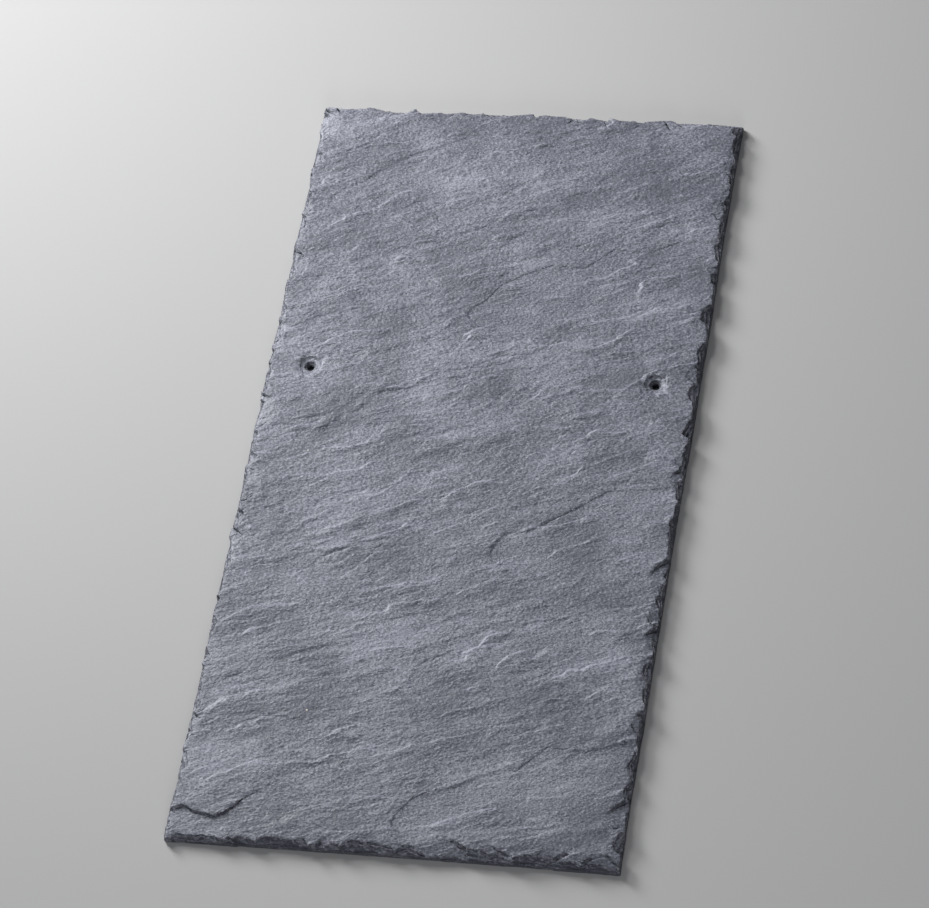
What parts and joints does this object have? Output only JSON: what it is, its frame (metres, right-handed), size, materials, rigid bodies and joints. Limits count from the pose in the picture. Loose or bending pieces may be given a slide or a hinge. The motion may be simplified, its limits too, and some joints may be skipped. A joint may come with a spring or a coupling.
{
  "type": "slate roof tile",
  "caption": "Rectangular riven slate roof tile with hand-dressed, flaked edges on its exposed face and a pair of punched nail holes.",
  "frame": {"origin": "middle of the bed, the flat underside that the slate rests on", "axes": "+Z out of the exposed face; +Y up the roof, from the tail to the head; X across the slate"},
  "size_m": [0.25, 0.5, 0.0075],
  "materials": {
    "slate": "riven, satin"
  },
  "bodies": {
    "root": {"slate": "slate"}
  },
  "joints": []
}
